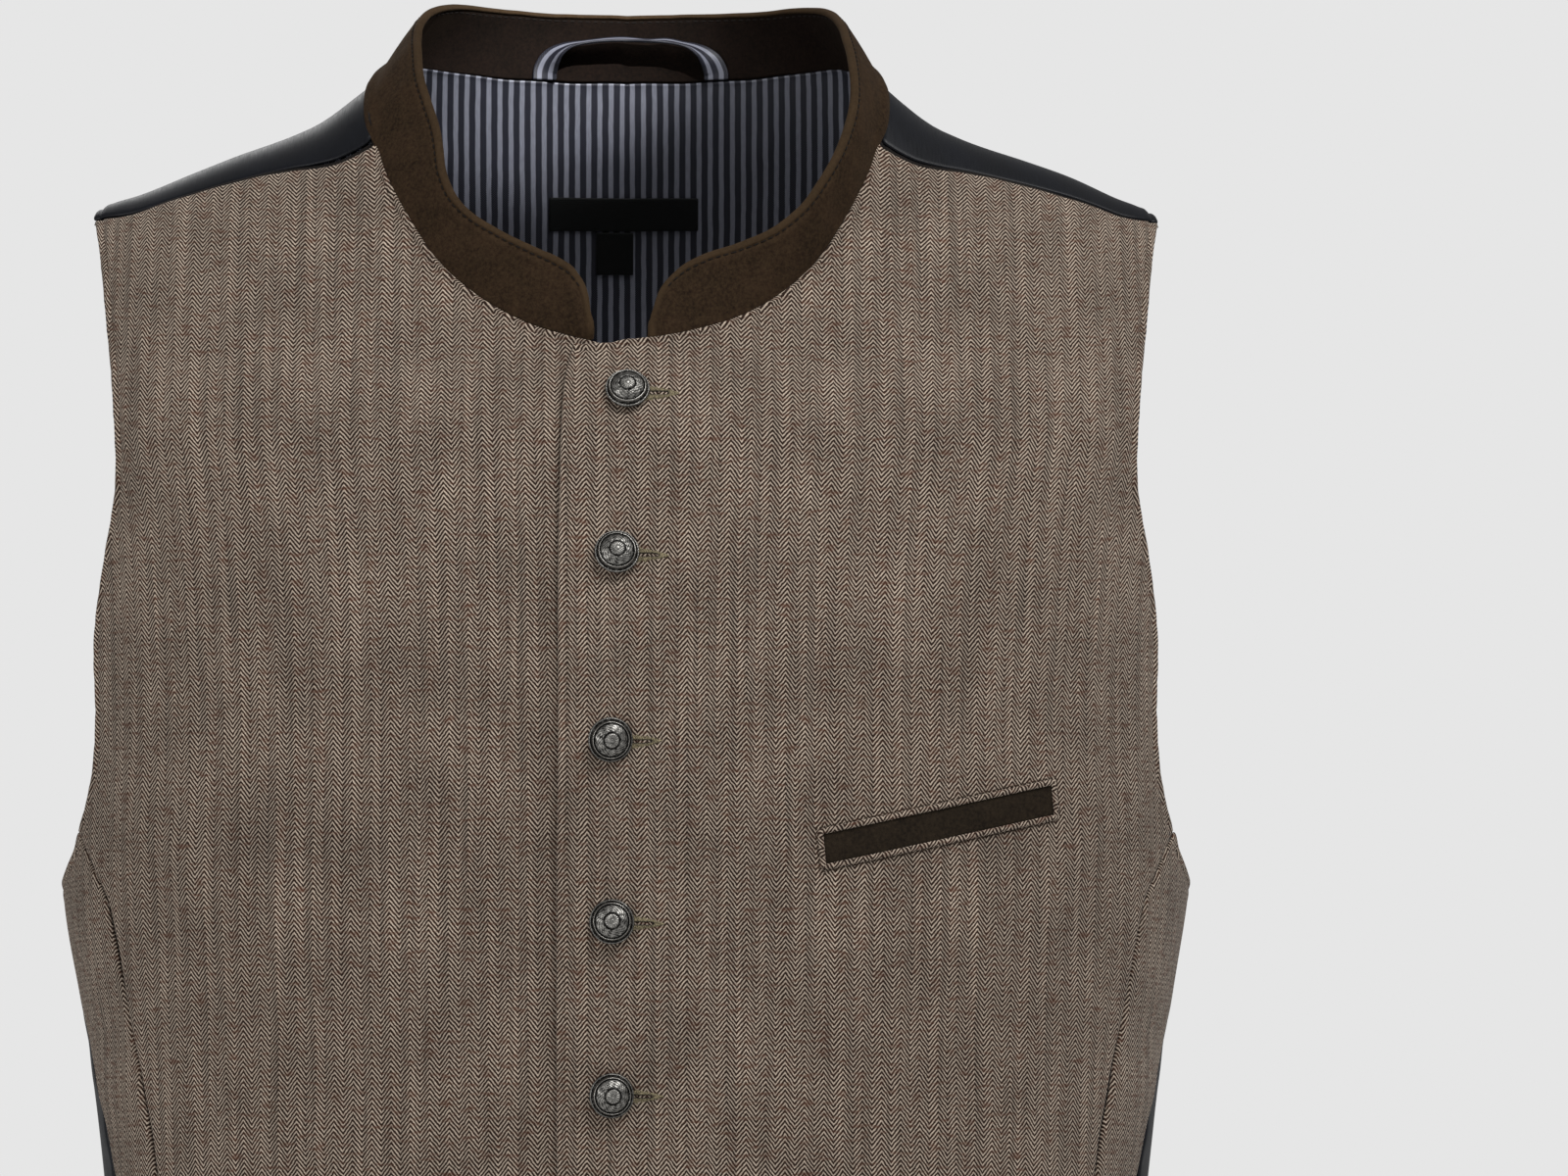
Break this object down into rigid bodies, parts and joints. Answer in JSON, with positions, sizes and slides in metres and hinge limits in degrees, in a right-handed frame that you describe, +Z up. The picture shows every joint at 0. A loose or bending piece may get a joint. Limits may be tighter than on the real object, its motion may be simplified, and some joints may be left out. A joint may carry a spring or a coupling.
{
  "type": "trachten vest",
  "caption": "Sleeveless traditional vest of herringbone tweed with a suede stand collar, metal shank buttons and a satin back.",
  "frame": {"origin": "on the wearer's centre line, between the two points where the shoulders meet the neck", "axes": "+X to the wearer's left, -Y out of the front, +Z up along the body"},
  "size_m": [0.412, 0.2375, 0.616],
  "materials": {
    "tweed": "brown and cream herringbone tweed",
    "satin": "dark blue-black satin",
    "striped_lining": "satin lining with narrow dark and silver stripes",
    "suede": "brown suede-look cloth",
    "suede_inner": "darker brown suede-look cloth",
    "label": "black woven ribbon, bare",
    "antique_silver": "antique silver, dark in its hollows"
  },
  "bodies": {
    "root": {"front_left": "tweed", "front_right": "tweed", "side_left": "tweed", "side_right": "tweed", "back": "satin", "lining_back": "striped_lining", "collar": "suede", "collar_inner": "suede_inner", "hanger_loop": "striped_lining", "label": "label", "size_tag": "label", "pocket_welt": "suede", "button_1": "antique_silver", "button_2": "antique_silver", "button_3": "antique_silver", "button_4": "antique_silver", "button_5": "antique_silver", "button_6": "antique_silver", "button_7": "antique_silver"}
  },
  "joints": []
}
